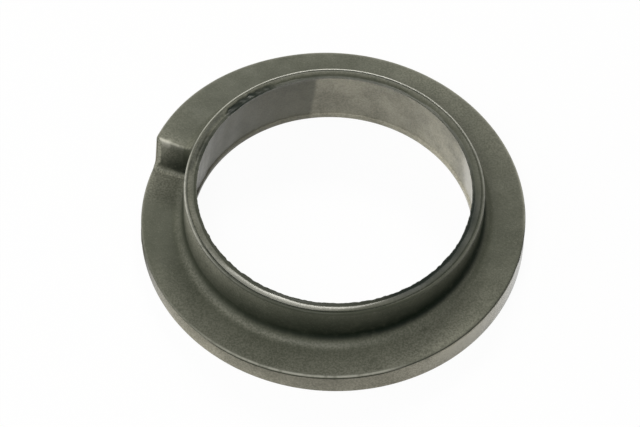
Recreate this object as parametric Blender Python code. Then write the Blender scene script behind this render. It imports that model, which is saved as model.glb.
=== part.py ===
"""Coil spring insulator.

A moulded rubber ring that sits between the end of a coil spring and its metal cup.  The
flange carries a helical seat that climbs counter-clockwise through one turn and drops
back in a single step, which the cut end of the spring butts against.  A thin collar
stands inside the flange and centres the coil.

Lengths are in metres and angles in degrees.  +Z is up, the underside lies on z = 0 and
the bore axis is the Z axis.
"""

import math

import bmesh
import bpy

# Flange, the seat on it, and the collar that stands inside the seat
FLANGE_RADIUS = 0.0750
SEAT_WIDTH = 0.0167
COLLAR_WALL = 0.0046
COLLAR_STAND = 0.0062

# Helical seat: its height just past the step, its steady climb over the turn, and the
# extra climb over the last part of the turn
SEAT_START = 0.0067
SEAT_CLIMB = 0.0132
SEAT_END_LIFT = 0.0028
END_LIFT_SPAN = 58.0

# Step at the end of the turn
STEP_ANGLE = 161.0
STEP_DRAFT = 5.0

# Bore, with a low lip round its foot
BORE_DRAFT = 4.0
FOOT_LIP_HEIGHT = 0.0024
FOOT_LIP_DEPTH = 0.0005

# Trimmed flash that stands round the top of the bore
TRIM_LIP_HEIGHT = 0.0009
TRIM_LIP_WIDTH = 0.0005

# Witness line that the mould's parting leaves under the flange's top edge
WITNESS_WIDTH = 0.0007
WITNESS_DEPTH = 0.0003

# Sections round the ramp
RAMP_SECTIONS = 96

# Sizes that follow from the ones above
COLLAR_RADIUS = FLANGE_RADIUS - SEAT_WIDTH
SEAT_END = SEAT_START + SEAT_CLIMB + SEAT_END_LIFT
STEP_HEIGHT = SEAT_END - SEAT_START
STEP_TOP_ROUND = 0.05 * STEP_HEIGHT
STEP_FOOT_FILLET = 0.13 * STEP_HEIGHT
STEP_CORNER_ROUND = 0.10 * STEP_HEIGHT
STEP_MIDDLE_RADIUS = COLLAR_RADIUS + 0.5 * SEAT_WIDTH
FLANGE_TOP_ROUND = 0.05 * SEAT_WIDTH
FLANGE_FOOT_ROUND = 0.08 * SEAT_WIDTH
WITNESS_SETBACK = 0.3 * WITNESS_WIDTH
COLLAR_TOP = SEAT_END + COLLAR_STAND
COLLAR_FILLET = 0.8 * COLLAR_STAND
RIM_ROUND = 0.20 * COLLAR_WALL
RIM_GROOVE = 0.13 * COLLAR_WALL
LAND_FALL = 0.08 * COLLAR_WALL
BORE_TOP_RADIUS = COLLAR_RADIUS - COLLAR_WALL


def arc(centre_r, centre_z, radius, start, end, steps):
    """Points along a circular arc, both ends included."""
    points = []
    for index in range(steps + 1):
        angle = math.radians(start + (end - start) * index / steps)
        points.append((centre_r + radius * math.cos(angle), centre_z + radius * math.sin(angle)))
    return points


def ease(share):
    """Ease from 0 to 1 as the share goes from 0 to 1, and stay there outside."""
    kept = min(max(share, 0.0), 1.0)
    return kept * kept * (3.0 - 2.0 * kept)


def seat_height(turn):
    """Height of the seat, where turn runs from 0 at the foot of the step to 1 at its top."""
    span = END_LIFT_SPAN / 360.0
    return SEAT_START + SEAT_CLIMB * turn + SEAT_END_LIFT * ease((turn - 1.0 + span) / span)


def wall_offset(height):
    """Distance round the ring from the top of the step to its face at this height."""
    return (SEAT_END - height) * math.tan(math.radians(STEP_DRAFT))


def step_outline():
    """Side view of the step, from its rounded top edge down to the fillet at its foot."""
    lean = math.tan(math.radians(45.0 - 0.5 * STEP_DRAFT))
    top_level = SEAT_END - STEP_TOP_ROUND
    foot_level = SEAT_START + STEP_FOOT_FILLET
    foot_offset = wall_offset(SEAT_START) + STEP_FOOT_FILLET * lean
    outline = arc(-STEP_TOP_ROUND * lean, top_level, STEP_TOP_ROUND, 90.0, STEP_DRAFT, 3)
    for share in (0.3, 0.6, 0.85):
        level = top_level + share * (foot_level - top_level)
        outline.append((wall_offset(level), level))
    outline.extend(arc(foot_offset, foot_level, STEP_FOOT_FILLET, 180.0 + STEP_DRAFT, 270.0, 7))
    return outline


def corner_inset(offset, level):
    """How far the outer wall draws in beside the step, to round its upright corner."""
    depth = max(wall_offset(level) - offset, 0.0)
    if level <= SEAT_START or depth >= STEP_CORNER_ROUND:
        return 0.0
    across = STEP_CORNER_ROUND - depth
    fade = ease(0.5 * (level - SEAT_START) / STEP_FOOT_FILLET)
    return fade * (STEP_CORNER_ROUND - math.sqrt(STEP_CORNER_ROUND ** 2 - across ** 2))


def witness_line(offset, line_level):
    """The line's own points, from its lower edge at this level; beside the step it is flush."""
    depth = WITNESS_DEPTH if offset < -1.01 * STEP_CORNER_ROUND else 0.0
    points = []
    for share, inset in ((0.0, 0.0), (0.5, depth), (1.0, 0.0)):
        level = line_level + share * WITNESS_WIDTH
        points.append((FLANGE_RADIUS - inset - corner_inset(offset, level), level))
    return points


def flange_section(offset, height):
    """Outer foot and wall, witness line, seat, fillet and collar rim, at this seat height."""
    top_level = height - FLANGE_TOP_ROUND
    drop = FLANGE_TOP_ROUND + WITNESS_SETBACK + WITNESS_WIDTH
    line_level = height - drop
    low_level = SEAT_START - drop
    points = arc(FLANGE_RADIUS - FLANGE_FOOT_ROUND, FLANGE_FOOT_ROUND, FLANGE_FOOT_ROUND, -90.0, 0.0, 3)
    for share in (0.0, 0.12, 0.2, 0.3, 0.55):
        level = low_level + share * (line_level - low_level)
        points.append((FLANGE_RADIUS - corner_inset(offset, level), level))
    points.extend(witness_line(offset, line_level))
    points.append((FLANGE_RADIUS - corner_inset(offset, top_level), top_level))
    edge_r = FLANGE_RADIUS - FLANGE_TOP_ROUND - corner_inset(offset, height)
    rim_r = COLLAR_RADIUS - RIM_ROUND
    points.extend(arc(edge_r, top_level, FLANGE_TOP_ROUND, 30.0, 90.0, 2))
    points.extend(arc(COLLAR_RADIUS + COLLAR_FILLET, height + COLLAR_FILLET, COLLAR_FILLET, 270.0, 180.0, 6))
    points.extend(arc(rim_r, COLLAR_TOP - RIM_ROUND, RIM_ROUND, 0.0, 90.0, 3))
    return points


def bore_section():
    """Groove, land, trim lip, bore wall and foot lip, which keep their shape all round."""
    groove_r = COLLAR_RADIUS - RIM_ROUND - RIM_GROOVE
    land_level = COLLAR_TOP - LAND_FALL
    crest_level = land_level + TRIM_LIP_HEIGHT
    ledge_level = FOOT_LIP_HEIGHT + FOOT_LIP_DEPTH
    wall_r = BORE_TOP_RADIUS + (crest_level - ledge_level) * math.tan(math.radians(BORE_DRAFT))
    foot_r = wall_r - FOOT_LIP_DEPTH
    nose = 0.3 * FOOT_LIP_HEIGHT
    points = [
        (groove_r + 0.5 * RIM_GROOVE, COLLAR_TOP - 0.5 * RIM_GROOVE),
        (groove_r, COLLAR_TOP),
        (BORE_TOP_RADIUS + 2.0 * TRIM_LIP_WIDTH, land_level),
        (BORE_TOP_RADIUS + TRIM_LIP_WIDTH, land_level + 0.6 * TRIM_LIP_HEIGHT),
        (BORE_TOP_RADIUS + 0.5 * TRIM_LIP_WIDTH, crest_level),
        (BORE_TOP_RADIUS, crest_level - 0.5 * TRIM_LIP_WIDTH),
        (wall_r, ledge_level),
        (foot_r, FOOT_LIP_HEIGHT),
    ]
    points.extend(arc(foot_r + nose, nose, nose, 180.0, 270.0, 3))
    return points


def stations():
    """Where the sections stand: angle, offset from the top of the step, seat height."""
    degree = math.radians(1.0) * STEP_MIDDLE_RADIUS
    rows = []
    for offset, height in step_outline():
        rows.append((STEP_ANGLE + offset / degree, offset, height))
    foot_angle = rows[-1][0]
    turn_angle = rows[0][0] + 360.0 - foot_angle
    shares = [index / RAMP_SECTIONS for index in range(1, RAMP_SECTIONS)]
    for share in (1.0, 0.6, 0.3):
        shares.append(1.0 - share * STEP_CORNER_ROUND / (turn_angle * degree))
    for share in shares:
        offset = rows[0][1] - turn_angle * degree * (1.0 - share)
        rows.append((foot_angle + turn_angle * share, offset, seat_height(share)))
    return rows


def loft(name, rows):
    """Join the sections round the axis into one closed body."""
    bm = bmesh.new()
    rings = []
    for angle, offset, height in rows:
        cosine = math.cos(math.radians(angle))
        sine = math.sin(math.radians(angle))
        points = flange_section(offset, height) + bore_section()
        rings.append([bm.verts.new((r * cosine, r * sine, z)) for r, z in points])
    for here, following in zip(rings, rings[1:] + rings[:1]):
        for index in range(len(here)):
            after = (index + 1) % len(here)
            bm.faces.new((here[index], following[index], following[after], here[after]))
    bmesh.ops.recalc_face_normals(bm, faces=bm.faces)
    bmesh.ops.triangulate(bm, faces=bm.faces)
    mesh = bpy.data.meshes.new(name)
    bm.to_mesh(mesh)
    bm.free()
    mesh.shade_smooth()
    mesh.set_sharp_from_angle(angle=math.radians(35.0))
    body = bpy.data.objects.new(name, mesh)
    bpy.context.scene.collection.objects.link(body)
    return body


def rubber(name):
    """Matt grey-black rubber."""
    material = bpy.data.materials.new(name)
    material.use_nodes = True
    shader = material.node_tree.nodes["Principled BSDF"]
    shader.inputs["Base Color"].default_value = (0.055, 0.058, 0.045, 1.0)
    shader.inputs["Roughness"].default_value = 0.6
    shader.inputs["Metallic"].default_value = 0.0
    return material


for item in list(bpy.data.objects):
    bpy.data.objects.remove(item, do_unlink=True)

insulator = loft("spring_insulator", stations())
insulator.data.materials.append(rubber("moulded_rubber"))
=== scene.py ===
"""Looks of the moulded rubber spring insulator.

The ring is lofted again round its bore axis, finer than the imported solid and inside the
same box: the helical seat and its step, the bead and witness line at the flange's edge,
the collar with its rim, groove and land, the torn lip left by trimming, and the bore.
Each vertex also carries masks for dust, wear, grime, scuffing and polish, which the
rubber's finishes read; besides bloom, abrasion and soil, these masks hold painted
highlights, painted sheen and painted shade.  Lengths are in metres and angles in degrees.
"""

import logging
import math
from dataclasses import dataclass
from enum import Enum

import bpy
import numpy as np
from mathutils import Matrix, Vector


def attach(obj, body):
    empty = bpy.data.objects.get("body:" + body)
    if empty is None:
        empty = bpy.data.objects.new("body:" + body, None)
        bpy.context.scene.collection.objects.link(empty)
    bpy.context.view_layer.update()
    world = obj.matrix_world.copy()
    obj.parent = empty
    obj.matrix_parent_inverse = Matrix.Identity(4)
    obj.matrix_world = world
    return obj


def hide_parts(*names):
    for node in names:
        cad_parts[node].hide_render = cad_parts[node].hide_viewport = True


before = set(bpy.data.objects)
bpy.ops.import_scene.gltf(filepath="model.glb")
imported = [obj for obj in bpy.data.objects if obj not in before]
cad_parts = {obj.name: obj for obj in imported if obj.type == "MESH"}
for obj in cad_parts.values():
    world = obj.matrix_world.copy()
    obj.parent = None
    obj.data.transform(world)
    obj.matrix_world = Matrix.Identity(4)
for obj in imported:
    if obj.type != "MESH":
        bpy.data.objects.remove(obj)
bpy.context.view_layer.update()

LOG = logging.getLogger("spring_insulator")

Color = tuple[float, float, float]
Profile = tuple[np.ndarray, np.ndarray]
Socket = bpy.types.NodeSocket
NodeGroup = bpy.types.ShaderNodeTree
Fed = dict[str | int, Socket | Color | float]

# Witness line, from its lower edge up: share of its height, and of its depth
WITNESS_SECTION = np.array([(0.18, 0.75), (0.42, 1.0), (0.68, 0.95), (0.9, 0.35)])

# Groove, from the rim inward: share of its width, and of its depth
GROOVE_SECTION = np.array([(0.2, 0.55), (0.4, 1.0), (0.6, 1.0), (0.85, 0.35)])

# Ledge over the bore's foot lip: shares of its depth, outward and up
LEDGE_SECTION = np.array([(0.62, 0.62), (0.25, 0.25), (0.04, -0.1)])

# Torn lip, from the land over to the bore: place in widths of the lip, and share of its
# raggedness, of its height and of the tear in the land beside it
LIP_SECTION = np.array([
    (1.45, 0.0, 0.02, 1.0), (1.0, 0.2, 0.2, 0.92), (0.5, 0.5, 0.65, 0.7),
    (-0.2, 0.8, 1.0, 0.45), (-0.8, 1.0, 0.8, 0.25), (-0.6, 0.8, 0.1, 0.1),
])

# Painted marks across the bead, from the wall up to the seat: its highlight, and the shade along
# its lower side
BEAD_HIGHLIGHT = np.array([0.07, 0.2, 0.5, 0.62, 0.55, 0.35, 0.13])
BEAD_SHADE = np.array([1.0, 1.0, 0.8, 0.4, 0.1, 0.0, 0.0])

# Painted highlight and polish across the rim, from the collar's wall to the groove
RIM_HIGHLIGHT = np.array([0.0, 0.15, 0.8, 1.0, 1.0, 0.9, 0.35, 0.0])
RIM_POLISH = np.array([0.0, 0.2, 0.8, 1.0, 1.0, 1.0, 1.0, 0.5])


class Mask(Enum):
    """The marks that the vertices carry. The value is the name of the mesh attribute."""

    # Bloom, and painted light: highlights on the fillet, collar, step and land, and sheen on the
    # outer wall and bore.
    DUST_AND_LIGHT = "dust"
    # Abraded edges, and painted highlights along the bead and rim.
    WEAR_AND_HIGHLIGHT = "wear"
    # Soil, and painted shade in the fillet, low on the collar wall, on the step's face, under the
    # bead and in the grooves.
    GRIME_AND_SHADE = "grime"
    SCUFF = "scuff"
    POLISH = "polish"


class Face(Enum):
    """The kinds of face on the ring. The value is the place of its finish on the mesh."""

    MOULDED = 0
    TRIMMED = 1
    BORE = 2
    WALL = 3


class Run(Enum):
    """The runs of the section, from the underside outward and over to the bore's foot."""

    UNDERSIDE = 0
    WALL = 1
    WITNESS = 2
    BEAD = 3
    SEAT = 4
    FILLET = 5
    COLLAR = 6
    RIM = 7
    GROOVE = 8
    LAND = 9
    LIP = 10
    BORE = 11
    FOOT_LIP = 12


Marks = dict[Mask, np.ndarray]


@dataclass(frozen=True)
class RingSizes:
    """Sizes of the ring, as the solid has them, in metres and degrees."""

    flange_radius: float = 0.0750
    seat_width: float = 0.0167
    collar_wall: float = 0.0046
    collar_stand: float = 0.0062
    seat_start: float = 0.0067
    seat_climb: float = 0.0132
    seat_end_lift: float = 0.0028
    end_lift_span: float = 58.0
    step_angle: float = 161.0
    step_draft: float = 5.0
    bore_draft: float = 4.0
    foot_lip_height: float = 0.0024
    foot_lip_depth: float = 0.0005
    trim_lip_height: float = 0.0009
    trim_lip_width: float = 0.0005

    @property
    def flange_foot(self) -> float:
        """Radius of the flange's rounded foot."""
        return 0.08 * self.seat_width

    @property
    def bead(self) -> float:
        """Radius of the flange's rounded top edge."""
        return 0.05 * self.seat_width

    @property
    def seat_end(self) -> float:
        """Height of the seat at the top of the step."""
        return self.seat_start + self.seat_climb + self.seat_end_lift

    @property
    def step_height(self) -> float:
        """Rise of the step."""
        return self.seat_end - self.seat_start

    @property
    def step_top_round(self) -> float:
        """Radius of the step's top edge."""
        return 0.05 * self.step_height

    @property
    def step_foot_fillet(self) -> float:
        """Radius of the fillet along the step's foot."""
        return 0.13 * self.step_height

    @property
    def step_corner(self) -> float:
        """Radius of the step's upright outer corner."""
        return 0.10 * self.step_height

    @property
    def collar_radius(self) -> float:
        """Radius of the collar's outer wall."""
        return self.flange_radius - self.seat_width

    @property
    def collar_top(self) -> float:
        """Height of the collar's rim."""
        return self.seat_end + self.collar_stand

    @property
    def collar_fillet(self) -> float:
        """Radius of the fillet between the seat and the collar."""
        return 0.8 * self.collar_stand

    @property
    def rim_round(self) -> float:
        """Radius of the collar's rounded rim."""
        return 0.20 * self.collar_wall

    @property
    def bore_top_radius(self) -> float:
        """Radius of the bore at its top."""
        return self.collar_radius - self.collar_wall

    @property
    def bore_top(self) -> float:
        """Height of the bore wall's top."""
        return self.collar_top - 0.08 * self.collar_wall

    @property
    def degree(self) -> float:
        """Length of one degree round the middle of the seat."""
        return math.radians(1.0) * (self.collar_radius + 0.5 * self.seat_width)


def smooth(value: np.ndarray) -> np.ndarray:
    """Ease from 0 to 1 as the value goes from 0 to 1, and stay there outside."""
    kept = np.clip(value, 0.0, 1.0)
    return kept * kept * (3.0 - 2.0 * kept)


def ramp(value: np.ndarray, start: float, span: float) -> np.ndarray:
    """Ease from 0 at the start to 1 a span on, or a span back where it is negative."""
    return smooth((value - start) / span)


def bell(value: np.ndarray, middle: float, width: float | np.ndarray) -> np.ndarray:
    """A soft line of 1 at the middle, which fades away over the width on both sides."""
    return np.exp(-((value - middle) / width) ** 2)


def arc(
    centre_r: float, centre_z: float, radius: float, start: float, end: float, count: int
) -> Profile:
    """Points along a circular arc of the section, both ends included.

    Args:
        centre_r: distance of the arc's centre from the bore axis.
        centre_z: height of the arc's centre.
        radius: radius of the arc.
        start: angle at which it starts.
        end: angle at which it ends.
        count: number of points.

    Returns:
        Distances from the axis, and heights.
    """
    turn = np.radians(np.linspace(start, end, count))
    return centre_r + radius * np.cos(turn), centre_z + radius * np.sin(turn)


@dataclass(frozen=True)
class Patch:
    """A stretch of the turn that a mark covers.

    Args:
        first: angle where it begins.
        last: angle where it ends, counter-clockwise from first.
        soft: width of the fade at each end.
    """

    first: float
    last: float
    soft: float

    def over(self, angle: np.ndarray) -> np.ndarray:
        """A mask of 1 on the patch and 0 beyond its fades.

        Args:
            angle: places round the ring.

        Returns:
            The mask at each place.
        """
        middle = 0.5 * (self.first + self.last)
        away = np.abs((angle - middle + 180.0) % 360.0 - 180.0)
        return smooth((0.5 * (self.last - self.first) + self.soft - away) / self.soft)


@dataclass(frozen=True)
class RoundTone:
    """How strong a mark is round the ring, joined through a few stops.

    Args:
        stops: pairs of an angle and the strength there, in order of angle.
    """

    stops: tuple[tuple[float, float], ...]

    def at(self, angle: np.ndarray) -> np.ndarray:
        """Strength of the mark at each angle."""
        places, levels = zip(*self.stops)
        return np.interp(angle % 360.0, places, levels, period=360.0)


@dataclass(frozen=True)
class Unevenness:
    """Slow waves round the ring that keep a moulded face from being perfect.

    Args:
        size: half the height of the waves.
        fewest: fewest waves in a turn.
        most: most waves in a turn.
        seed: start of the random phases.
        waves: number of waves that are laid over each other.
        slant: how far a wave turns at most across the face, in radians.
    """

    size: float
    fewest: int
    most: int
    seed: int
    waves: int = 14
    slant: float = 4.0

    def over(self, angle: np.ndarray, across: np.ndarray) -> np.ndarray:
        """Height of the waves.

        Args:
            angle: places round the ring.
            across: places across the face, from 0 to 1.

        Returns:
            One height for each pair of places.
        """
        chance = np.random.default_rng(self.seed)
        total = np.zeros(np.broadcast(angle, across).shape)
        for _ in range(self.waves):
            count = chance.integers(self.fewest, self.most + 1)
            slant = chance.uniform(-self.slant, self.slant)
            phase = chance.uniform(0.0, 2.0 * math.pi)
            total = total + np.cos(np.radians(angle) * count + across * slant + phase)
        return self.size * total * math.sqrt(2.0 / self.waves)


@dataclass(frozen=True)
class TornEdge:
    """A ragged line round the ring, such as rubber has where it was torn off.

    Args:
        pitch: distance between its points.
        seed: start of the random heights.
    """

    pitch: float
    seed: int

    def share(self, angle: np.ndarray) -> np.ndarray:
        """How much of the height is left.

        Args:
            angle: places round the ring.

        Returns:
            The share left at each place, from 0 to 1.
        """
        chance = np.random.default_rng(self.seed)
        knots = np.arange(0.0, 360.0, self.pitch)
        ragged = chance.uniform(0.0, 1.0, knots.size)
        ragged = 0.5 * ragged + 0.25 * (np.roll(ragged, 1) + np.roll(ragged, -1))
        return np.interp(angle % 360.0, knots, ragged, period=360.0)


@dataclass(frozen=True)
class TornLand:
    """Where the trimming tore the land, in ragged runs beside the lip.

    Args:
        runs: pairs of a patch and how badly it is torn, from 0 to 1.
        edge: raggedness of the outer edge of the tear.
        grain: raggedness inside the tear.
        slant: how far the grain turns across the land.
        least: roughness where the grain is at its lowest.
        fade: share of the land over which the tear's outer edge fades.
        lip_share: place across the land that the lip is torn like.
        depth: depth of the tear.
    """

    runs: tuple[tuple[Patch, float], ...] = (
        (Patch(120.5, 140.0, 4.0), 1.0),
        (Patch(156.0, 166.0, 6.0), 0.45),
        (Patch(62.0, 115.0, 5.0), 0.25),
    )
    edge: TornEdge = TornEdge(pitch=0.7, seed=3)
    grain: TornEdge = TornEdge(pitch=0.9, seed=9)
    slant: float = 3.0
    least: float = 0.4
    fade: float = 0.25
    lip_share: float = 0.95
    depth: float = 0.0006

    def at(self, angle: np.ndarray, share: np.ndarray) -> np.ndarray:
        """How badly the land is torn.

        Args:
            angle: station angles, as a column.
            share: places across the land, from 0 at the groove to 1 at the lip.

        Returns:
            The tear at each place, from 0 to a little over 1.
        """
        run = np.maximum.reduce([level * patch.over(angle) for patch, level in self.runs])
        reach = np.sqrt(run) * (0.5 + 0.5 * self.edge.share(angle))
        rough = self.least + self.grain.share(angle + self.slant * share)
        return run * rough * smooth((share - 1.0 + reach) / self.fade)

    def at_lip(self, angle: np.ndarray) -> np.ndarray:
        """How badly the lip is torn at each angle."""
        return self.at(angle, np.array([self.lip_share]))


@dataclass
class Strip:
    """A stretch of section points that share a run and a kind of face.

    Args:
        run: the run of the section that it belongs to.
        face: kind of face.
        r: distance from the bore axis, one row for each station.
        z: height, one row for each station.
    """

    run: Run
    face: Face
    r: np.ndarray
    z: np.ndarray


@dataclass(frozen=True)
class Stations:
    """Where the sections stand, as columns.

    Args:
        angle: angles round the bore axis.
        offset: distances round the ring from the top of the step.
        height: heights of the seat.
    """

    angle: np.ndarray
    offset: np.ndarray
    height: np.ndarray

    def strip(self, run: Run, face: Face, r: np.ndarray | float, z: np.ndarray) -> Strip:
        """Make a strip, with a row for each station."""
        rows, heights, _ = np.broadcast_arrays(r, z, self.angle)
        return Strip(run, face, rows, heights)


@dataclass(frozen=True)
class RingMarks:
    """Bloom, abrasion, soil, scuffing and polish on the ring, with painted highlights, sheen and
    shade laid in among them.

    Each RoundTone is the strength of one mark round the turn, and each Patch is where one
    mark lies.  On the seat, offsets are distances round the ring from the step's top edge.

    Args:
        sizes: sizes of the ring.
        torn_land: tears in the land.
        groove: depth of the groove round the turn, which the groove's darkening follows, partly
            soil and partly painted shade.
    """

    sizes: RingSizes
    torn_land: TornLand
    groove: RoundTone
    # Bloom on the seat, with painted light below the step, 163° to 178°, that lifts the step's
    # shadow there.
    seat_dust_and_light: RoundTone = RoundTone((
        (0, 0.16), (30, 0.32), (60, 0.34), (90, 0.14), (135, 0.10), (155, 0.20), (163, 0.66),
        (170, 0.52), (178, 0.12), (195, 0.05), (205, 0.20), (215, 0.29), (255, 0.29),
        (285, 0.33), (302, 0.50), (322, 0.43), (345, 0.16),
    ))
    # Painted shade: the seat darker beside the collar and lighter toward its outer edge, most on
    # the near side.
    seat_outward_light: RoundTone = RoundTone(((200, 0.9), (250, 1.25), (290, 1.15), (315, 0.8)))
    # Painted highlight along the fillet's lower part, strongest at the near left; on the right,
    # where negative, painted shade.
    fillet_highlight_and_shade: RoundTone = RoundTone((
        (180, 0.3), (215, 0.8), (240, 1.4), (258, 1.0), (285, 0.2), (315, -0.4), (359, -0.6),
    ))
    # Painted shade in the fillet's steep part and low on the collar wall, light on the left and
    # heaviest on the right.
    fillet_shade: RoundTone = RoundTone((
        (165, 0.35), (195, 0.22), (215, 0.32), (235, 0.60), (270, 0.84), (310, 1.0), (359, 1.0),
    ))
    # Painted light on the fillet's left side.
    fillet_left_light: Patch = Patch(184.0, 208.0, 14.0)
    # Painted highlight on the collar wall, on its left side.
    collar_highlight: RoundTone = RoundTone((
        (165, 0.6), (185, 0.8), (205, 0.85), (225, 0.4), (260, 0.1), (310, 0.1),
    ))
    # Painted highlight along the bead, strongest at the front.
    bead_highlight: RoundTone = RoundTone((
        (180, 0.4), (205, 0.1), (228, 0.25), (245, 0.85), (290, 1.0),
    ))
    shaded: Patch = Patch(297.0, 350.0, 12.0)
    lit_witness: Patch = Patch(198.0, 228.0, 10.0)
    bead_at_step: Patch = Patch(161.2, 163.0, 0.5)
    # Bloom on the outer wall, and painted sheen from the floor's light that lightens it most on
    # the right.
    wall_dust_and_sheen: RoundTone = RoundTone((
        (0, 0.9), (15, 0.5), (140, 0.5), (152, 1.0), (164, 1.0), (172, 0.3), (198, 0.3),
        (212, 1.02), (240, 0.92), (270, 0.72), (285, 0.94), (300, 1.25), (318, 1.90),
        (330, 1.80), (345, 1.0),
    ))
    # How the wall's bloom and painted sheen change with height: more low down on the left, more
    # toward the top on the right.
    wall_fall: RoundTone = RoundTone((
        (200, 1.0), (225, 1.5), (245, 1.4), (285, 0.9), (300, 0.6), (318, -0.5), (345, -1.5),
    ))
    wall_polish: RoundTone = RoundTone((
        (20, 0.0), (194, 0.0), (203, 0.6), (214, 0.3), (226, 0.0), (290, 0.0), (315, 0.55),
        (332, 0.9), (348, 1.1), (359, 0.4),
    ))
    # Painted highlight along the rim, which also sets its polish.
    rim_highlight: RoundTone = RoundTone((
        (0, 0.25), (20, 0.42), (45, 0.65), (60, 0.85), (75, 1.1), (108, 1.1), (122, 0.85),
        (140, 0.7), (163, 0.42), (185, 0.7), (205, 0.45), (222, 0.15), (250, 0.0), (300, 0.0),
        (345, 0.2),
    ))
    land_dust: RoundTone = RoundTone((
        (15, 0.25), (60, 0.38), (90, 0.36), (130, 0.40), (165, 0.55), (195, 0.48), (212, 0.45),
        (225, 0.3), (290, 0.2), (303, 0.4), (318, 0.1), (345, 0.1),
    ))
    polished_groove: Patch = Patch(222.0, 256.0, 16.0)
    paler_groove: Patch = Patch(10.0, 50.0, 15.0)
    left_groove: Patch = Patch(172.0, 204.0, 8.0)
    back_groove: Patch = Patch(55.0, 112.0, 10.0)
    # Land and lip darker on the right.
    darker_right_land: Patch = Patch(304.0, 352.0, 16.0)
    land_at_step: Patch = Patch(146.0, 172.0, 6.0)
    # Polish on the near land, and a painted highlight laid along the same slanted band.
    polished_lit_land: Patch = Patch(230.0, 268.0, 20.0)
    polish_slant: float = 26.0
    # Bloom on the bore wall, with painted sheen that lightens its right side most, 0° to 24°.
    bore_dust_and_sheen: RoundTone = RoundTone((
        (0, 0.7), (8, 1.5), (16, 2.2), (24, 1.10), (45, 0.98), (60, 0.69), (75, 0.76),
        (99.4, 0.78), (101.2, 0.30), (125, 0.26), (150, 0.24), (170, 0.4), (185, 0.5),
    ))
    bore_fall: RoundTone = RoundTone((
        (0, 1.6), (10, 0.1), (45, -0.5), (62, 0.45), (120, 0.2), (150, 0.5), (170, 0.0),
        (185, 1.0),
    ))
    bore_slant: float = 2.0
    scuffed_bore: Patch = Patch(22.0, 100.0, 1.0)
    polished_bore: Patch = Patch(10.0, 20.0, 8.0)
    step_nicks: TornEdge = TornEdge(pitch=30.0, seed=5)
    nick_pace: float = 3.0e4
    pale_line_radius: float = 0.0610

    def flange_marks(self, strip: Strip, at: Stations) -> Marks:
        """Marks on the outer wall, its witness line or its bead.

        Args:
            strip: the strip.
            at: the stations.

        Returns:
            The masks that the strip has.
        """
        wall_dust_and_sheen = self.wall_dust_and_sheen.at(at.angle)
        if strip.run == Run.WALL:
            level = strip.z / self.sizes.seat_end
            return {
                # The wall's bloom and its painted sheen, changing with height.
                Mask.DUST_AND_LIGHT: wall_dust_and_sheen * (1.0 + self.wall_fall.at(at.angle) * (0.3 - level)),
                Mask.POLISH: self.wall_polish.at(at.angle),
            }
        shaded = self.shaded.over(at.angle)
        if strip.run == Run.WITNESS:
            # The witness line is darkened, partly soil in it and partly painted shade; where it is
            # lit, and in the shaded patch, it takes the wall's bloom and painted sheen instead.
            lit = np.maximum(shaded, self.lit_witness.over(at.angle))
            return {Mask.DUST_AND_LIGHT: lit * wall_dust_and_sheen, Mask.GRIME_AND_SHADE: 0.25 * (1.0 - lit)}
        # Painted shade along the bead's lower side on the right, where its painted highlight is
        # also left out.
        lower = shaded * BEAD_SHADE
        beside_step = 1.0 - ramp(np.abs(at.offset - 0.0018), 0.0022, 0.003)
        whole = (1.0 - 0.75 * beside_step) * (1.0 - 0.9 * shaded)
        dust = self.seat_dust_and_light.at(at.angle) * (1.0 - 0.7 * lower)
        return {
            Mask.DUST_AND_LIGHT: dust + 0.6 * self.bead_at_step.over(at.angle),
            Mask.WEAR_AND_HIGHLIGHT: whole * self.bead_highlight.at(at.angle) * BEAD_HIGHLIGHT,
            Mask.GRIME_AND_SHADE: 0.6 * lower,
        }

    def seat_marks(self, strip: Strip, at: Stations) -> Marks:
        """Marks on the seat or on its fillet, with the step's face in them.

        Args:
            strip: the strip.
            at: the stations.

        Returns:
            The masks that the strip has.
        """
        sizes = self.sizes
        dust = self.seat_dust_and_light.at(at.angle)
        depth = (sizes.seat_end - strip.z) / sizes.step_height
        inward = (sizes.flange_radius - strip.r) / sizes.seat_width
        face = ramp(at.offset, -0.0001, 0.0002) * ramp(at.offset, 0.0022, -0.0012)
        # Painted shade on the step's face, darker toward its foot and inward.
        step_face_shade = face * (0.4 * smooth(1.6 * inward) + 0.5 * smooth(1.2 * depth - 0.1))
        if strip.run == Run.SEAT:
            across = (strip.r - sizes.collar_radius) / sizes.seat_width
            # Painted shade beside the collar: the seat lighter toward its outer edge.
            dust = dust * (0.45 + self.seat_outward_light.at(at.angle) * across) * (1.0 - 0.2 * face)
            # Painted highlight along the fillet at the step's foot.
            step_foot_highlight = 0.65 * bell(at.offset, 0.0037, 0.0009)
            # Painted highlight on the step's rounded outer corner, near its top.
            step_corner_highlight = 0.3 * face * smooth(1.0 - inward) * smooth(1.0 - depth)
            nicks = ramp(self.step_nicks.share(strip.r * self.nick_pace), 0.25, 0.4)
            # The step's top edge is made pale, partly abraded and partly a painted highlight along
            # its rounding.
            pale_line = bell(at.offset, -0.0004, 0.0005 + 0.0003 * nicks)
            pale_line = pale_line * ramp(strip.r, self.pale_line_radius, 0.003)
            pale_line = pale_line * ramp(at.offset, 0.0004, -0.0004)
            return {
                Mask.DUST_AND_LIGHT: dust + step_foot_highlight + step_corner_highlight,
                Mask.WEAR_AND_HIGHLIGHT: pale_line * (0.55 + 0.5 * nicks),
                Mask.GRIME_AND_SHADE: step_face_shade,
            }
        tilt = np.linspace(6.0, 86.0, strip.r.shape[1])
        steep = ramp(tilt, 36.0, 36.0)
        # Painted highlight across the fillet at about 26° of tilt.
        lit = bell(tilt, 26.0, 12.0) * self.fillet_highlight_and_shade.at(at.angle)
        # Painted light on the fillet's left side.
        fillet_left_lit = 0.26 * self.fillet_left_light.over(at.angle) * ramp(tilt, 4.0, 26.0)
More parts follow.
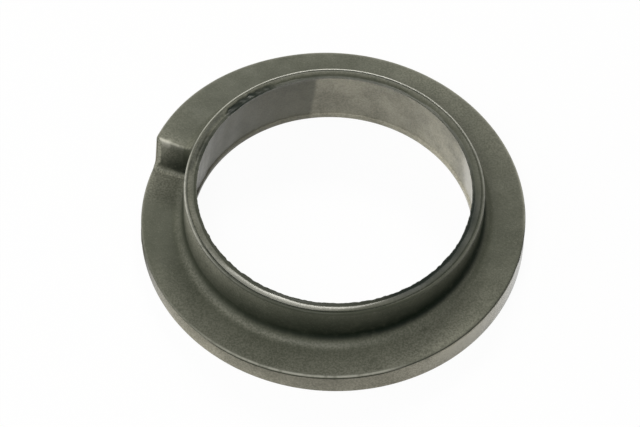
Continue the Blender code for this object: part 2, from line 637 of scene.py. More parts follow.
        # Painted shade in the fillet's steep part.
        darkening = 1.1 * steep * self.fillet_shade.at(at.angle)
        return {
            Mask.DUST_AND_LIGHT: (dust * (1.0 + lit) + fillet_left_lit) * 0.85 * (1.0 - steep) * (1.0 - 0.75 * face),
            Mask.GRIME_AND_SHADE: np.maximum(darkening, step_face_shade * smooth(3.0 * depth)),
        }

    def collar_marks(self, strip: Strip, angle: np.ndarray) -> Marks:
        """Marks on the collar's wall, rim, groove, land or lip.

        Args:
            strip: the strip.
            angle: station angles, as a column.

        Returns:
            The masks that the strip has.
        """
        if strip.run == Run.COLLAR:
            rise = np.linspace(0.0, 1.0, strip.r.shape[1])
            return {
                # Painted highlight, growing up the collar wall.
                Mask.DUST_AND_LIGHT: self.collar_highlight.at(angle) * (0.4 + 0.9 * rise),
                # Painted shade low on the collar wall, beside the fillet.
                Mask.GRIME_AND_SHADE: self.fillet_shade.at(angle) * (1.05 - 0.95 * rise),
            }
        if strip.run == Run.RIM:
            # Painted highlight along the rim, with its polish.
            pale_line = self.rim_highlight.at(angle)
            return {Mask.WEAR_AND_HIGHLIGHT: pale_line * RIM_HIGHLIGHT, Mask.POLISH: pale_line * RIM_POLISH}
        dust = self.land_dust.at(angle)
        if strip.run == Run.GROOVE:
            # The groove is darkened, partly soil in it and partly painted shade, less at 10° to
            # 50°.
            darkening = self.groove.at(angle) * (1.0 - 0.6 * self.paler_groove.over(angle))
            darkening = darkening + 0.4 * self.left_groove.over(angle)
            darkening = darkening + 0.35 * self.back_groove.over(angle)
            polish = 0.5 * self.polished_groove.over(angle)
            return {Mask.DUST_AND_LIGHT: dust, Mask.GRIME_AND_SHADE: 0.8 * darkening, Mask.POLISH: polish}
        darkening = self.darker_right_land.over(angle)
        if strip.run == Run.LAND:
            share = np.linspace(0.0, 1.0, strip.r.shape[1])
            inner = smooth(1.4 * share - 0.4)
            at_step = self.land_at_step.over(angle)
            polish = 0.72 * self.polished_lit_land.over(angle - self.polish_slant * (share - 0.5))
            darkening = darkening * (0.65 + 0.35 * inner) + 0.6 * at_step * (1.0 - inner)
            return {
                # The polished band is also painted pale as a highlight.
                Mask.DUST_AND_LIGHT: dust * (1.0 - 0.5 * inner) + 0.35 * polish + 0.3 * at_step * inner,
                Mask.GRIME_AND_SHADE: darkening + 1.2 * self.torn_land.at(angle, share),
                Mask.POLISH: polish,
            }
        torn = self.torn_land.at_lip(angle)
        return {Mask.DUST_AND_LIGHT: 0.4 * dust, Mask.GRIME_AND_SHADE: 0.4 + darkening + 0.7 * torn}

    def bore_marks(self, strip: Strip, angle: np.ndarray) -> Marks:
        """Marks on the bore's wall, or on the low lip round its foot.

        Args:
            strip: the strip.
            angle: station angles, as a column.

        Returns:
            The masks that the strip has.
        """
        level = strip.z / self.sizes.collar_top - 0.5
        slanted = angle + self.bore_slant * level
        # Bloom on the bore wall, with its painted sheen, changing with height.
        dust = self.bore_dust_and_sheen.at(slanted) * (1.0 + self.bore_fall.at(angle) * level)
        # Painted reflection: the foot lip made paler.
        if strip.run == Run.FOOT_LIP:
            dust = dust + 0.25
        scuffed = self.scuffed_bore.over(slanted)
        return {
            Mask.DUST_AND_LIGHT: dust * (1.0 + 0.2 * scuffed),
            Mask.SCUFF: scuffed,
            Mask.POLISH: 0.45 * self.polished_bore.over(angle),
        }

    def paint(self, strips: list[Strip], at: Stations) -> Marks:
        """Paint the masks that the finishes read.

        Args:
            strips: the section's strips.
            at: the stations.

        Returns:
            For each mask, one value for each station and section point.
        """
        painted = {mask: [] for mask in Mask}
        for strip in strips:
            if strip.run == Run.UNDERSIDE:
                marks = {}
            elif strip.run in (Run.WALL, Run.WITNESS, Run.BEAD):
                marks = self.flange_marks(strip, at)
            elif strip.run in (Run.SEAT, Run.FILLET):
                marks = self.seat_marks(strip, at)
            elif strip.run in (Run.BORE, Run.FOOT_LIP):
                marks = self.bore_marks(strip, at.angle)
            else:
                marks = self.collar_marks(strip, at.angle)
            for mask, parts in painted.items():
                parts.append(np.broadcast_to(marks.get(mask, 0.0), strip.r.shape))
        return {mask: np.concatenate(parts, axis=1) for mask, parts in painted.items()}


@dataclass
class SpringInsulator:
    """The ring: its stations round the axis, and its section at each."""

    name: str = "spring_insulator_ring"
    sizes: RingSizes = RingSizes()
    ramp_stations: int = 756
    wall_play: float = 0.00012
    wall_gap: float = 0.0004
    witness_drop: float = 0.0001
    witness_width: float = 0.00062
    witness_depth: float = 0.00028
    groove_width: float = 0.0006
    groove_depth: float = 0.00034
    land_fall: float = 0.00015
    lip_play: float = 0.00045
    corner_fillet: float = 0.0024
    wall_waves: Unevenness = Unevenness(0.00005, 5, 60, 11)
    seat_waves: Unevenness = Unevenness(0.000035, 4, 46, 23)
    collar_waves: Unevenness = Unevenness(0.00004, 3, 24, 31)
    bore_waves: Unevenness = Unevenness(0.00006, 3, 40, 43)
    lip_edge: TornEdge = TornEdge(pitch=0.6, seed=7)
    lip_height: RoundTone = RoundTone((
        (0, 0.5), (20, 0.3), (60, 0.2), (114, 0.25), (120.5, 0.7), (138.5, 0.7), (147, 0.3),
        (195, 0.5), (215, 1.0), (330, 1.0),
    ))
    groove: RoundTone = RoundTone((
        (0, 0.6), (60, 0.45), (110, 0.25), (150, 0.2), (203, 0.25), (214, 1.0), (275, 0.9),
        (300, 0.5), (345, 0.4),
    ))
    torn_land: TornLand = TornLand()

    def seat_height(self, turn: np.ndarray) -> np.ndarray:
        """Height of the seat.

        Args:
            turn: place on the climb, from 0 at the foot of the step to 1 at its top.

        Returns:
            The height at each place.
        """
        sizes = self.sizes
        span = sizes.end_lift_span / 360.0
        late = smooth((turn - 1.0 + span) / span)
        return sizes.seat_start + sizes.seat_climb * turn + sizes.seat_end_lift * late

    def wall_offset(self, height: np.ndarray) -> np.ndarray:
        """Distance round the ring from the top of the step to its face at this height."""
        return (self.sizes.seat_end - height) * math.tan(math.radians(self.sizes.step_draft))

    def step_outline(self) -> Profile:
        """Side view of the step.

        Returns:
            Offsets and heights, from its top edge to its foot.
        """
        sizes = self.sizes
        draft, top_round, fillet = sizes.step_draft, sizes.step_top_round, sizes.step_foot_fillet
        lean = math.tan(math.radians(45.0 - 0.5 * draft))
        top_level = sizes.seat_end - top_round
        foot_level = sizes.seat_start + fillet
        foot_offset = float(self.wall_offset(sizes.seat_start)) + fillet * lean
        over, rise = arc(-top_round * lean, top_level, top_round, 90.0, draft, 8)
        down = np.linspace(top_level, foot_level, 16)[1:-1]
        out, sink = arc(foot_offset, foot_level, fillet, 180.0 + draft, 270.0, 12)
        return (
            np.concatenate([over, self.wall_offset(down), out]),
            np.concatenate([rise, down, sink]),
        )

    def stations(self) -> Stations:
        """Place the stations down the step, and then up the seat, closer before the step.

        Returns:
            The stations.
        """
        sizes = self.sizes
        offset, height = self.step_outline()
        angle = sizes.step_angle + offset / sizes.degree
        turn = angle[0] + 360.0 - angle[-1]
        length = turn * sizes.degree
        close = 1.0 - np.array([0.0016, 0.0013, 0.0010, 0.0007, 0.0004, 0.0002]) / length
        share = np.linspace(0.0, 1.0, self.ramp_stations + 1)[1:-1]
        share = np.sort(np.concatenate([share[share < close[0] - 0.0002], close]))
        return Stations(
            angle=np.concatenate([angle, angle[-1] + turn * share])[:, None],
            offset=np.concatenate([offset, offset[0] - length * (1.0 - share)])[:, None],
            height=np.concatenate([height, self.seat_height(share)])[:, None],
        )

    def corner_inset(self, offset: np.ndarray, level: np.ndarray) -> np.ndarray:
        """How far the outer wall draws in beside the step, to round its upright corner.

        Args:
            offset: distance round the ring from the top of the step.
            level: height on the wall.

        Returns:
            The inset at each place.
        """
        corner = self.sizes.step_corner
        depth = np.maximum(self.wall_offset(level) - offset, 0.0)
        across = np.clip(corner - depth, 0.0, corner)
        rise = smooth(0.5 * (level - self.sizes.seat_start) / self.sizes.step_foot_fillet)
        return rise * (corner - np.sqrt(corner ** 2 - across ** 2))

    def flange_strips(self, at: Stations) -> list[Strip]:
        """Underside, foot, outer wall, witness line, bead, seat and fillet.

        Args:
            at: the stations.

        Returns:
            The strips in order, from the underside outward and up to the collar.
        """
        sizes, gap, height = self.sizes, self.wall_gap, at.height
        bead, foot, fillet = sizes.bead, sizes.flange_foot, sizes.collar_fillet
        outer = sizes.flange_radius - self.wall_play
        low = sizes.seat_start - bead
        off_step = ramp(np.abs(at.offset - 0.0015), 0.0025, 0.004)

        under_r = np.linspace(sizes.bore_top_radius + 0.004, outer - foot - 0.002, 4)
        foot_r, foot_z = arc(outer - foot, foot, foot, -90.0, 0.0, 7)
        line_top = height - bead - self.witness_drop
        line_foot = line_top - self.witness_width
        low_z = np.linspace(foot + 0.0006, low - 2.0 * gap, 5)
        share = 1.0 - (1.0 - np.linspace(0.0, 1.0, 8)) ** 2
        high_z = low - gap + share * (line_foot - low + gap)
        line_share, line_depth = WITNESS_SECTION.T
        line_z = line_foot + line_share * (line_top - line_foot)
        line_in = self.witness_depth * line_depth * off_step
        bead_r, bead_z = arc(-bead, -bead, bead, 8.0, 90.0, 7)

        low_r = outer + self.wall_waves.over(at.angle, low_z / sizes.step_height)
        high_waves = self.wall_waves.over(at.angle, high_z / sizes.step_height)
        high_r = outer - self.corner_inset(at.offset, high_z) + high_waves
        line_r = outer - self.corner_inset(at.offset, line_z) - line_in
        top_r = outer - self.corner_inset(at.offset, height + bead_z) + bead_r
        across = np.linspace(0.06, 1.0, 10)
        start_r = outer - bead - self.corner_inset(at.offset, height)
        end_r = sizes.collar_radius + fillet
        seat_r = start_r + (end_r - start_r) * across
        ease = np.sin(np.pi * np.clip(across, 0.0, 0.97)) ** 0.5
        seat_z = height + self.seat_waves.over(at.angle, across) * ease * off_step
        fillet_r, fillet_z = arc(end_r, fillet, fillet, 264.0, 184.0, 14)
        return [
            at.strip(Run.UNDERSIDE, Face.MOULDED, under_r, 0.0),
            at.strip(Run.WALL, Face.WALL, foot_r, foot_z),
            at.strip(Run.WALL, Face.WALL, low_r, low_z),
            at.strip(Run.WALL, Face.WALL, high_r, high_z),
            at.strip(Run.WITNESS, Face.WALL, line_r, line_z),
            at.strip(Run.BEAD, Face.MOULDED, top_r, height + bead_z),
            at.strip(Run.SEAT, Face.MOULDED, seat_r, seat_z),
            at.strip(Run.FILLET, Face.MOULDED, fillet_r, height + fillet_z),
        ]

    def collar_strips(self, at: Stations) -> list[Strip]:
        """Collar wall, rim, groove, land and torn lip.

        Args:
            at: the stations.

        Returns:
            The strips in order, from the collar's outer wall over to the bore.
        """
        sizes, angle = self.sizes, at.angle
        rim, top, width = sizes.rim_round, sizes.collar_top, sizes.trim_lip_width
        rim_r = sizes.collar_radius - rim
        wave = self.collar_waves.over(angle, np.zeros(1))

        wall_foot = at.height + sizes.collar_fillet
        wall_z = wall_foot + np.linspace(0.0, 1.0, 7) * (top - rim - 0.0001 - wall_foot)
        round_r, round_z = arc(rim_r, top - rim, rim, 4.0, 90.0, 8)
        inward, down = GROOVE_SECTION.T
        groove_r = rim_r - self.groove_width * inward
        groove_z = top - self.groove_depth * self.groove.at(angle) * down
        land_start = rim_r - self.groove_width
        land_end = sizes.bore_top_radius + 2.0 * width
        share = np.linspace(0.0, 1.0, 8)
        land_r = land_start + (land_end - land_start) * share
        land_z = top - self.land_fall * share ** 2
        dip = self.torn_land.depth * self.torn_land.at(angle, share)

        left = self.lip_edge.share(angle)
        torn = self.torn_land.at_lip(angle)
        stand = self.lip_height.at(angle)
        across, wander, rise, tear = LIP_SECTION.T
        crest = sizes.trim_lip_height * (0.27 + 0.50 * left) * stand * (1.0 - 0.85 * torn)
        lip_r = sizes.bore_top_radius + width * across
        lip_r = lip_r - self.lip_play * (left - 0.5) * stand * wander
        lip_z = top - self.land_fall + crest * rise - self.torn_land.depth * torn * tear
        return [
            at.strip(Run.COLLAR, Face.MOULDED, sizes.collar_radius, wall_z),
            at.strip(Run.RIM, Face.TRIMMED, round_r, round_z + wave),
            at.strip(Run.GROOVE, Face.TRIMMED, groove_r, groove_z + wave),
            at.strip(Run.LAND, Face.TRIMMED, land_r, land_z - dip + wave),
            at.strip(Run.LIP, Face.TRIMMED, lip_r, lip_z),
        ]

    def bore_strips(self, at: Stations) -> list[Strip]:
        """Bore wall, and the low lip round its foot.

        Args:
            at: the stations.

        Returns:
            The strips in order, from the top of the bore down to the underside.
        """
        sizes, top = self.sizes, self.sizes.bore_top
        lip, depth = sizes.foot_lip_height, sizes.foot_lip_depth
        spread = math.tan(math.radians(sizes.bore_draft))
        crest, ledge, nose = top + sizes.trim_lip_height, lip + depth, 0.3 * lip
        wall_z = np.linspace(top - 0.0002, ledge, 15)
        waves = self.bore_waves.over(at.angle, wall_z / top) * ramp(wall_z, top, -0.002)
        wall_r = sizes.bore_top_radius + (crest - wall_z) * spread + waves
        foot_r = sizes.bore_top_radius + (crest - ledge) * spread - depth
        outward, up = LEDGE_SECTION.T
        side_z = np.linspace(lip - 0.0004, nose + 0.0002, 3)
        nose_r, nose_z = arc(foot_r + nose, nose, nose, 180.0, 270.0, 6)
        return [
            at.strip(Run.BORE, Face.BORE, wall_r, wall_z),
            at.strip(Run.FOOT_LIP, Face.BORE, foot_r + depth * outward, lip + depth * up),
            at.strip(Run.FOOT_LIP, Face.BORE, foot_r, side_z),
            at.strip(Run.FOOT_LIP, Face.BORE, nose_r, nose_z),
        ]

    def build(self) -> bpy.types.Object:
        """Loft the sections round the axis into one closed mesh.

        Returns:
            The ring's object, with its masks as vertex attributes.
        """
        sizes, corner = self.sizes, self.corner_fillet
        at = self.stations()
        strips = self.flange_strips(at) + self.collar_strips(at) + self.bore_strips(at)
        r = np.concatenate([strip.r for strip in strips], axis=1)
        z = np.concatenate([strip.z for strip in strips], axis=1)
        near = np.clip(corner - (r - sizes.collar_radius), 0.0, corner)
        shift = corner - np.sqrt(corner ** 2 - near ** 2)
        fade = ramp(at.offset, -0.0012, 0.0014) * ramp(at.offset, 0.012, -0.008)
        turn = np.radians(at.angle + shift * fade / sizes.degree)
        points = np.stack([r * np.cos(turn), r * np.sin(turn), z], axis=-1)

        rows, across = r.shape
        here = np.arange(rows)[:, None] * across
        following = ((np.arange(rows) + 1) % rows)[:, None] * across
        first = np.arange(across)[None, :]
        after = (first + 1) % across
        quads = np.stack(
            [here + first, following + first, following + after, here + after], axis=-1
        )
        mesh = bpy.data.meshes.new(self.name)
        mesh.from_pydata(points.reshape(-1, 3).tolist(), [], quads.reshape(-1, 4).tolist())
        faces = np.concatenate([np.full(strip.r.shape[1], strip.face.value) for strip in strips])
        mesh.polygons.foreach_set("material_index", np.tile(faces, rows).astype(np.int32))
        marks = RingMarks(sizes, self.torn_land, self.groove).paint(strips, at)
        for mask, values in marks.items():
            layer = mesh.attributes.new(mask.value, "FLOAT", "POINT")
            layer.data.foreach_set("value", values.reshape(-1).astype(np.float32))
        mesh.update()
        mesh.validate()
        mesh.shade_smooth()
        mesh.set_sharp_from_angle(angle=math.radians(50.0))
        ring = bpy.data.objects.new(self.name, mesh)
        bpy.context.scene.collection.objects.link(ring)
        LOG.info("%s: %d stations, %d points a section", self.name, rows, across)
        return ring

    def dress(self, ring: bpy.types.Object, finishes: dict[Face, "RubberFinish"]) -> None:
        """Give the ring its finishes and put it in the frame.

        Args:
            ring: the ring's object.
            finishes: the finish of each kind of face.
        """
        for face in Face:
            ring.data.materials.append(finishes[face].material())
        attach(ring, "root")
        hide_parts("spring_insulator")


def feed(tree: bpy.types.NodeTree, node: bpy.types.Node, fed: Fed) -> None:
    """Feed a node's inputs.

    Args:
        tree: where the node stands.
        node: the node.
        fed: what each input gets: another node's socket, a colour or a number.
    """
    for name, value in fed.items():
        if isinstance(value, bpy.types.NodeSocket):
            tree.links.new(value, node.inputs[name])
        elif isinstance(value, tuple):
            node.inputs[name].default_value = (*value, 1.0)
        else:
            node.inputs[name].default_value = value


def place(
    tree: bpy.types.NodeTree, kind: str, fed: Fed, **settings: str | NodeGroup
) -> bpy.types.Node:
    """Place a node.

    Args:
        tree: where it goes.
        kind: kind of node, such as ShaderNodeMath.
        fed: what each input gets.
        settings: its own settings.

    Returns:
        The node.
    """
    node = tree.nodes.new(kind)
    for name, value in settings.items():
        setattr(node, name, value)
    feed(tree, node, fed)
    return node


class EffectGroup:
    """A shader node group with named inputs and outputs, built once."""

    def __init__(self, name: str, inputs: dict[str, Color | float | None]) -> None:
        """Start a group with its inputs.

        Args:
            name: name of the group.
            inputs: starting value of each input. A vector has none.
        """
        self.tree = bpy.data.node_groups.new(name, "ShaderNodeTree")
        self.entry = self.tree.nodes.new("NodeGroupInput")
        self.exit = self.tree.nodes.new("NodeGroupOutput")
        for label, value in inputs.items():
            if value is None:
                self.socket(label, "INPUT", "NodeSocketVector")
            elif isinstance(value, tuple):
                self.socket(label, "INPUT", "NodeSocketColor").default_value = (*value, 1.0)
            else:
                self.socket(label, "INPUT", "NodeSocketFloat").default_value = value

    def socket(self, name: str, side: str, kind: str) -> bpy.types.NodeTreeInterfaceSocket:
        """Add a socket of a kind, such as NodeSocketColor, to the INPUT or OUTPUT side."""
        return self.tree.interface.new_socket(name, in_out=side, socket_type=kind)

    def out(self, name: str, source: Socket) -> None:
        """Add an output of the same kind as its source, and feed it."""
        self.socket(name, "OUTPUT", source.bl_idname)
        self.tree.links.new(source, self.exit.inputs[name])

    def take(self, name: str) -> Socket:
        """The inside end of a named input."""
        return self.entry.outputs[name]

    def noise(self, scale: float, detail: float, rough: float) -> Socket:
        """Add a noise texture that reads the group's Vector.

        Args:
            scale: scale of its largest layer.
            detail: number of finer layers.
            rough: weight of the finer layers.

        Returns:
            Its value.
        """
        fed = {"Vector": self.take("Vector"), "Scale": scale, "Detail": detail, "Roughness": rough}
        return place(self.tree, "ShaderNodeTexNoise", fed).outputs["Fac"]

    def math(self, kind: str, *numbers: Socket | float) -> Socket:
        """Add a math node, such as MULTIPLY, for two numbers or three."""
        fed = dict(enumerate(numbers))
        return place(self.tree, "ShaderNodeMath", fed, operation=kind).outputs[0]

    def spread(self, value: Socket, low: float, high: float) -> Socket:
        """Stretch a value smoothly.

        Args:
            value: the value.
            low: what becomes 0.
            high: what becomes 1.

        Returns:
            The stretched value.
        """
        fed = {"Value": value, "From Min": low, "From Max": high}
        node = place(self.tree, "ShaderNodeMapRange", fed, interpolation_type="SMOOTHSTEP")
        return node.outputs["Result"]

    def mix(self, share: Socket, base: str, top: str) -> Socket:
        """Lay the input colour called top over the one called base, where the share is 1."""
        fed = {0: share, 6: self.take(base), 7: self.take(top)}
        return place(self.tree, "ShaderNodeMix", fed, data_type="RGBA").outputs[2]


def grain_effect() -> NodeGroup:
    """Fine grain of moulded rubber: pale specks, soft mottling and a low, rough height.

    Returns:
        The node group.
    """
    group = EffectGroup("rubber_grain", {
        "Vector": None, "Base": (0.06, 0.06, 0.05), "Pale": (0.12, 0.12, 0.10),
        "Speck Amount": 0.5, "Mottle Amount": 0.5,
    })
    mottle = group.spread(group.noise(scale=95.0, detail=4.0, rough=0.62), low=0.34, high=0.70)
    fine = group.noise(scale=900.0, detail=3.0, rough=0.6)
    speck = group.spread(group.noise(scale=1500.0, detail=1.0, rough=0.5), low=0.60, high=0.74)
    tone = group.math("MULTIPLY", mottle, group.take("Mottle Amount"))
    specks = group.math("MULTIPLY", speck, group.take("Speck Amount"))
    group.out("Color", group.mix(group.math("ADD", tone, specks), "Base", "Pale"))
    group.out("Height", group.math("ADD", fine, group.math("MULTIPLY", speck, 0.5)))
    group.out("Mottle", mottle)
    return group.tree


def dust_and_light_effect() -> NodeGroup:
    """Pale, patchy bloom that lies on the rubber where a mask lets it, also laid as painted
    highlights, sheen and light.

    Returns:
        The node group.
    """
    group = EffectGroup("dust_bloom_and_light", {
        "Vector": None, "Color": (0.06, 0.06, 0.05), "Dust And Light": (0.30, 0.29, 0.26), "Mask": 0.0,
        "Amount": 0.5, "Patchiness": 0.3, "Powder": 0.7,
    })
    patch = group.spread(group.noise(scale=55.0, detail=5.0, rough=0.65), low=0.30, high=0.66)
    bare = group.math("MULTIPLY", group.math("SUBTRACT", 1.0, patch), group.take("Patchiness"))
    grain = group.spread(group.noise(scale=1300.0, detail=2.0, rough=0.6), low=0.34, high=0.66)
    centred = group.math("SUBTRACT", grain, 0.5)
    uneven = group.math("MULTIPLY_ADD", centred, group.take("Powder"), 1.0)
    film = group.math("MULTIPLY", group.take("Mask"), group.math("SUBTRACT", uneven, bare))
    share = group.math("MULTIPLY", film, group.take("Amount"))
    group.out("Color", group.mix(share, "Color", "Dust And Light"))
    return group.tree


def wear_and_highlight_effect() -> NodeGroup:
    """Edges made pale, broken up along their length: abraded on the step's edge, and painted
    highlights on the bead and rim.

    Returns:
        The node group.
    """
    group = EffectGroup("edge_wear_and_highlight", {
        "Vector": None, "Color": (0.06, 0.06, 0.05), "Rubbed And Lit": (0.60, 0.59, 0.50), "Mask": 0.0,
    })
    broken = group.spread(group.noise(scale=260.0, detail=4.0, rough=0.6), low=0.15, high=0.55)
    share = group.math("MULTIPLY", group.take("Mask"), broken)
    group.out("Color", group.mix(share, "Color", "Rubbed And Lit"))
    return group.tree


def grime_and_shade_effect() -> NodeGroup:
    """Dark colour: soil in grooves and along torn edges, and painted shade in the fillet, on the
    collar wall, on the step's face and under the bead.

    Returns:
        The node group.
    """
    group = EffectGroup("held_grime_and_shade", {
        "Vector": None, "Color": (0.06, 0.06, 0.05), "Grime And Shade": (0.003, 0.007, 0.003), "Mask": 0.0,
    })
    patch = group.spread(group.noise(scale=320.0, detail=3.0, rough=0.6), low=0.15, high=0.55)
    uneven = group.math("MULTIPLY_ADD", patch, 0.4, 0.6)
    share = group.math("MULTIPLY", group.take("Mask"), uneven)
    group.out("Color", group.mix(share, "Color", "Grime And Shade"))
    return group.tree


@dataclass(frozen=True)
class RubberEffects:
    """The node groups that every rubber finish places with its own values."""

    grain: NodeGroup
    dust: NodeGroup
    wear: NodeGroup
    grime: NodeGroup

    @classmethod
    def make(cls) -> "RubberEffects":
        """Build each group once."""
        return cls(grain_effect(), dust_and_light_effect(), wear_and_highlight_effect(), grime_and_shade_effect())


@dataclass(frozen=True)
class RubberFinish:
    """One finish of the rubber.

    Args:
        name: name of the material.
        effects: the shared node groups.
        base: colour of the clean rubber.
        pale: colour of its specks and mottling.
        dust: colour of the bloom, which also serves the painted light laid with it.
        dust_amount: how thick the bloom is.
        patchiness: how unevenly it lies.
        powder: strength of its fine grain.
        speck: strength of the specks.
        mottle: strength of the mottling.
        shine: strength of the reflection of the rubber's skin, where 0.5 is plain plastic.
        roughness: roughness of the clean rubber.
        bump: height of the grain.
        scuff_roughness: roughness added where it is scuffed.
        mottle_roughness: roughness added where the mottling is palest.
        polish_roughness: roughness of the polished skin.
        polish_bend: how strongly the polished skin bends light.
    """

    name: str
    effects: RubberEffects
    base: Color
    pale: Color
    dust: Color
    dust_amount: float
    patchiness: float
    powder: float
    speck: float
    mottle: float
    shine: float
    roughness: float
    bump: float
    scuff_roughness: float = 0.0
    mottle_roughness: float = -0.06
    polish_roughness: float = 0.24
    polish_bend: float = 1.65

    def material(self) -> bpy.types.Material:
        """Make the material.

        Returns:
            A Principled material fed by the shared effects.
        """
        made = bpy.data.materials.new(self.name)
        made.use_nodes = True
        tree = made.node_tree
        coordinates = place(tree, "ShaderNodeTexCoord", {}).outputs["Object"]

        def effect(group: NodeGroup, fed: Fed) -> bpy.types.Node:
            """Place a shared group, with the coordinates and its own colours and numbers."""
            return place(tree, "ShaderNodeGroup", {"Vector": coordinates, **fed}, node_tree=group)

        def read(mask: Mask) -> Socket:
            """Read one of the ring's masks."""
            return place(tree, "ShaderNodeAttribute", {}, attribute_name=mask.value).outputs["Fac"]

        def more(source: Socket, amount: float, start: Socket | float) -> Socket:
            """Add an amount of a source to a starting value."""
            fed = {0: source, 1: amount, 2: start}
            return place(tree, "ShaderNodeMath", fed, operation="MULTIPLY_ADD").outputs[0]

        grain = effect(self.effects.grain, {
            "Base": self.base, "Pale": self.pale, "Speck Amount": self.speck,
            "Mottle Amount": self.mottle,
        })
        dust = effect(self.effects.dust, {
            "Color": grain.outputs["Color"], "Dust And Light": self.dust, "Mask": read(Mask.DUST_AND_LIGHT),
            "Amount": self.dust_amount, "Patchiness": self.patchiness, "Powder": self.powder,
        })
        fed = {"Color": dust.outputs["Color"], "Mask": read(Mask.WEAR_AND_HIGHLIGHT)}
        wear = effect(self.effects.wear, fed)
        fed = {"Color": wear.outputs["Color"], "Mask": read(Mask.GRIME_AND_SHADE)}
        grime = effect(self.effects.grime, fed)
        scuffed = more(read(Mask.SCUFF), self.scuff_roughness, self.roughness)
        bump = place(tree, "ShaderNodeBump", {
            "Strength": 1.0, "Distance": self.bump, "Height": grain.outputs["Height"],
        })
        feed(tree, tree.nodes["Principled BSDF"], {
            "Base Color": grime.outputs["Color"],
            "Roughness": more(grain.outputs["Mottle"], self.mottle_roughness, scuffed),
            "Specular IOR Level": self.shine,
            "Coat Weight": read(Mask.POLISH),
            "Coat Roughness": self.polish_roughness,
            "Coat IOR": self.polish_bend,
            "Normal": bump.outputs["Normal"],
        })
        return made


@dataclass(frozen=True)
class SoftBox:
    """A studio lamp with a soft front.

    Args:
        name: name of the lamp.
        place: where it stands.
        width: width of its front.
        height: height of its front.
        power: power in watts.
        color: colour of its light.
    """

    name: str
    place: tuple[float, float, float]
    width: float
    height: float
    power: float
    color: Color = (1.0, 1.0, 1.0)

    def light(self) -> bpy.types.Object:
        """Set the lamp up, turned to the middle of the ring.

        Returns:
            The lamp.
        """
        data = bpy.data.lights.new(self.name, "AREA")
        data.shape = "RECTANGLE"
        data.size = self.width
        data.size_y = self.height
        data.energy = self.power
        data.color = self.color
        lamp = bpy.data.objects.new(self.name, data)
        lamp.location = self.place
        lamp.rotation_euler = Vector(self.place).to_track_quat("Z", "Y").to_euler()
        bpy.context.scene.collection.objects.link(lamp)
        LOG.info("%s: lamp of %.1f W", self.name, self.power)
        return lamp


@dataclass(frozen=True)
class Studio:
    """The white floor and the pale room round it.

    Args:
        half: half the side of the floor.
        drop: distance of the floor below the ring's underside.
        paint: how much light the floor gives back.
        glow: share of its white that doesn't depend on the lamps, as seen by the camera.
        room: level of the light from the room's walls and ceiling.
    """

    half: float = 4.0
    drop: float = 0.00005
    paint: float = 0.9
    glow: float = 0.95
    room: float = 0.22

    def seen(self, tree: bpy.types.NodeTree) -> Socket:
        """A mask of 1 for the camera and for what mirrors and glass show.

        Args:
            tree: nodes of the material or the room.

        Returns:
            The mask.
        """
        path = place(tree, "ShaderNodeLightPath", {})
        total = path.outputs["Is Camera Ray"]
        for other in ("Is Glossy Ray", "Is Transmission Ray"):
            fed = {0: total, 1: path.outputs[other]}
            total = place(tree, "ShaderNodeMath", fed, operation="MAXIMUM").outputs[0]
        return total

    def white(self) -> bpy.types.Material:
        """Make the floor's white, which takes the ring's shadow.

        Returns:
            The material.
        """
        made = bpy.data.materials.new("studio_white")
        made.use_nodes = True
        tree = made.node_tree
        tree.nodes.clear()
        tone = (self.paint, self.paint, self.paint)
        paint = place(tree, "ShaderNodeBsdfDiffuse", {"Color": tone})
        glow = place(tree, "ShaderNodeEmission", {})
        fed = {0: self.seen(tree), 1: self.glow}
        share = place(tree, "ShaderNodeMath", fed, operation="MULTIPLY")
        fed = {0: share.outputs[0], 1: paint.outputs[0], 2: glow.outputs[0]}
        mix = place(tree, "ShaderNodeMixShader", fed)
        place(tree, "ShaderNodeOutputMaterial", {"Surface": mix.outputs[0]})
        return made

    def lay_floor(self) -> bpy.types.Object:
        """Lay the floor under the ring.

        Returns:
            The floor.
        """
        mesh = bpy.data.meshes.new("studio_floor")
        corners = [(-1, -1), (1, -1), (1, 1), (-1, 1)]
        points = [(x * self.half, y * self.half, -self.drop) for x, y in corners]
        mesh.from_pydata(points, [], [(0, 1, 2, 3)])
        mesh.materials.append(self.white())
        floor = bpy.data.objects.new("studio_floor", mesh)
        bpy.context.scene.collection.objects.link(floor)
        LOG.info("%s: %.0f m wide", floor.name, 2.0 * self.half)
        return floor

    def light_room(self) -> None:
        """Give the room its soft light, and the white that the camera sees past the floor."""
        world = bpy.data.worlds.new("studio_room")
        world.use_nodes = True
        tree = world.node_tree
        level = place(tree, "ShaderNodeMix", {0: self.seen(tree), 2: self.room, 3: 1.0})
        fed = {"Color": (1.0, 1.0, 1.0), "Strength": level.outputs[0]}
        feed(tree, tree.nodes["Background"], fed)
        bpy.context.scene.world = world


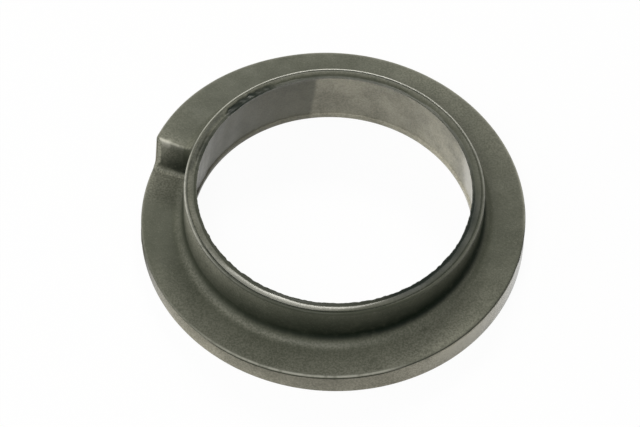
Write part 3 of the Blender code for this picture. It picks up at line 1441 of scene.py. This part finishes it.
@dataclass(frozen=True)
class ProductCamera:
    """The camera, at the photograph's viewing angle.

    Args:
        elevation: how steeply it looks down.
        roll: how far it is turned about its own axis.
        distance: distance from the ring's foot.
        right: how far it stands to the right.
        up: how far it stands up.
        lens: focal length in millimetres.
        frame_width: width of the frame in millimetres.
        reach: how far it sees.
    """

    elevation: float = 55.05
    roll: float = 2.638
    distance: float = 1.722
    right: float = -0.00487
    up: float = 0.00699
    lens: float = 247.2
    frame_width: float = 36.0
    reach: float = 100.0

    def stand(self) -> bpy.types.Object:
        """Set the camera up and make it the scene's own.

        Returns:
            The camera.
        """
        tilt = math.radians(self.elevation)
        turn = math.radians(self.roll)
        back = Vector((0.0, -math.cos(tilt), math.sin(tilt)))
        level = Vector((1.0, 0.0, 0.0))
        rise = back.cross(level)
        side = level * math.cos(turn) + rise * math.sin(turn)
        rise = rise * math.cos(turn) - level * math.sin(turn)
        data = bpy.data.cameras.new("product_camera")
        data.lens = self.lens
        data.sensor_width = self.frame_width
        data.clip_end = self.reach
        camera = bpy.data.objects.new("product_camera", data)
        turned = Matrix((side, rise, back)).transposed().to_4x4()
        spot = back * self.distance + side * self.right + rise * self.up
        camera.matrix_world = Matrix.Translation(spot) @ turned
        bpy.context.scene.collection.objects.link(camera)
        bpy.context.scene.camera = camera
        LOG.info("%s: %.1f mm lens", camera.name, self.lens)
        return camera


def rubber_finishes() -> dict[Face, RubberFinish]:
    """Choose the finishes of the ring.

    Returns:
        The finish of each kind of face.
    """
    effects = RubberEffects.make()
    return {
        Face.MOULDED: RubberFinish(
            name="moulded_rubber", effects=effects,
            base=(0.048, 0.053, 0.035), pale=(0.100, 0.106, 0.075), dust=(0.34, 0.335, 0.265),
            dust_amount=0.72, patchiness=0.35, powder=0.7, speck=0.6, mottle=0.3,
            shine=0.16, roughness=0.48, bump=0.00005,
        ),
        Face.TRIMMED: RubberFinish(
            name="trimmed_rubber", effects=effects,
            base=(0.038, 0.042, 0.026), pale=(0.070, 0.074, 0.050), dust=(0.24, 0.235, 0.185),
            dust_amount=0.7, patchiness=0.5, powder=0.7, speck=0.3, mottle=0.4,
            shine=0.2, roughness=0.42, bump=0.000006,
        ),
        # The bore's pale bloom colour also carries its painted sheen.
        Face.BORE: RubberFinish(
            name="bore_rubber", effects=effects,
            base=(0.060, 0.063, 0.046), pale=(0.125, 0.129, 0.100), dust=(0.478, 0.455, 0.365),
            dust_amount=0.75, patchiness=0.45, powder=0.3, speck=0.2, mottle=0.35,
            shine=0.14, roughness=0.36, bump=0.00003, scuff_roughness=0.10,
        ),
        # The side wall's pale bloom colour also carries its painted sheen from the floor's light.
        Face.WALL: RubberFinish(
            name="side_rubber", effects=effects,
            base=(0.048, 0.052, 0.038), pale=(0.100, 0.104, 0.080), dust=(0.44, 0.42, 0.34),
            dust_amount=0.72, patchiness=0.3, powder=0.4, speck=0.35, mottle=0.3,
            shine=0.0, roughness=0.60, bump=0.00005,
        ),
    }


def light_studio() -> None:
    """Lay the floor, light the room and set up the lamps."""
    studio = Studio()
    studio.lay_floor()
    studio.light_room()
    SoftBox("back_softbox", (0.12, 1.13, 0.98), 0.60, 0.30, 11.0, (1.0, 0.98, 0.90)).light()
    SoftBox("high_softbox", (-0.22, -0.61, 1.13), 0.50, 0.50, 7.0).light()
    SoftBox("left_softbox", (-1.10, -0.20, 0.66), 0.60, 0.60, 4.0).light()
    bpy.context.scene.view_settings.view_transform = "Standard"


def main() -> None:
    """Build the camera, the studio and the ring."""
    logging.basicConfig(level=logging.INFO, format="%(name)s: %(message)s")
    ProductCamera().stand()
    light_studio()
    insulator = SpringInsulator()
    ring = insulator.build()
    insulator.dress(ring, rubber_finishes())
    LOG.info("%s: dressed with %d finishes", ring.name, len(ring.data.materials))


if __name__ == "__main__":
    main()
